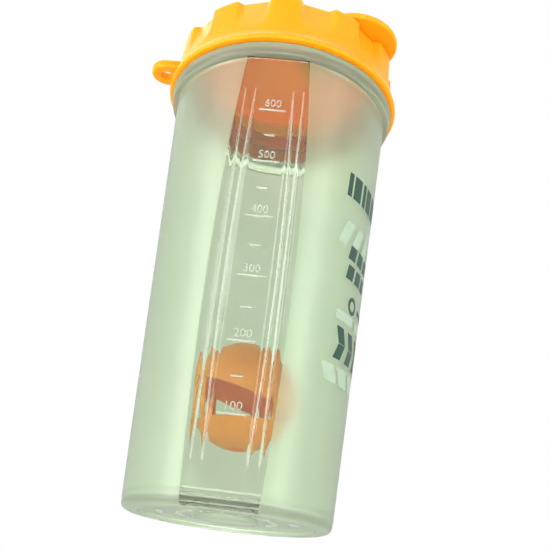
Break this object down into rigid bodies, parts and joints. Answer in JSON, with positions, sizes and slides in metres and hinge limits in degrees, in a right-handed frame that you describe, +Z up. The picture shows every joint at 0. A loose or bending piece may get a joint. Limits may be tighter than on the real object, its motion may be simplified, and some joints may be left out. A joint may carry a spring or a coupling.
{
  "type": "shaker bottle",
  "caption": "Tapered translucent shaker cup with a fluted sight window, screw lid with carry loop, round flip cap over the spout, and a loose mixing ball inside.",
  "frame": {"origin": "centre of the cup's base, on the plane that the bottle stands on", "axes": "+Z up the cup's axis towards the lid; the sight window faces -Y; the carry loop points to -X"},
  "size_m": [0.1052, 0.0948, 0.2],
  "materials": {
    "cup_plastic": "frosted translucent, with a clear polished sight window",
    "lid_plastic": "satin moulded",
    "ball_plastic": "satin moulded",
    "silicone": "soft matte",
    "pin_steel": "polished",
    "print_ink": "screen printed"
  },
  "bodies": {
    "cup": {"cup": "cup_plastic"},
    "seal": {"lid_seal_ring": "silicone"},
    "lid": {"lid": "lid_plastic", "hinge_pin": "pin_steel"},
    "flip_cap": {"flip_cap": "lid_plastic", "spout_plug": "silicone"},
    "mixer_ball": {"mixer_ball_lower": "ball_plastic", "mixer_ball_upper": "ball_plastic"}
  },
  "joints": [
    {"name": "lid_rise", "type": "slide", "parent": "cup", "child": "seal", "axis": [0, 0, 1], "range_m": [0, 0.0161]},
    {"name": "lid_turn", "type": "hinge", "parent": "seal", "child": "lid", "pos_m": [0, 0, 0.175], "axis": [0, 0, 1], "range_deg": [0, 720]},
    {"name": "cap_flip", "type": "hinge", "parent": "lid", "child": "flip_cap", "pos_m": [0.00667, -0.00441, 0.1934], "axis": [-0.5519, -0.8339, 0], "range_deg": [0, 130]},
    {"name": "ball_slide", "type": "slide", "parent": "cup", "child": "mixer_ball", "axis": [0, 0, 1], "range_m": [-0.0205, 0.1229]}
  ],
  "couplings": [
    {"joint": "lid_rise", "follows": "lid_turn", "m_per_rad": 0.0012732}
  ]
}
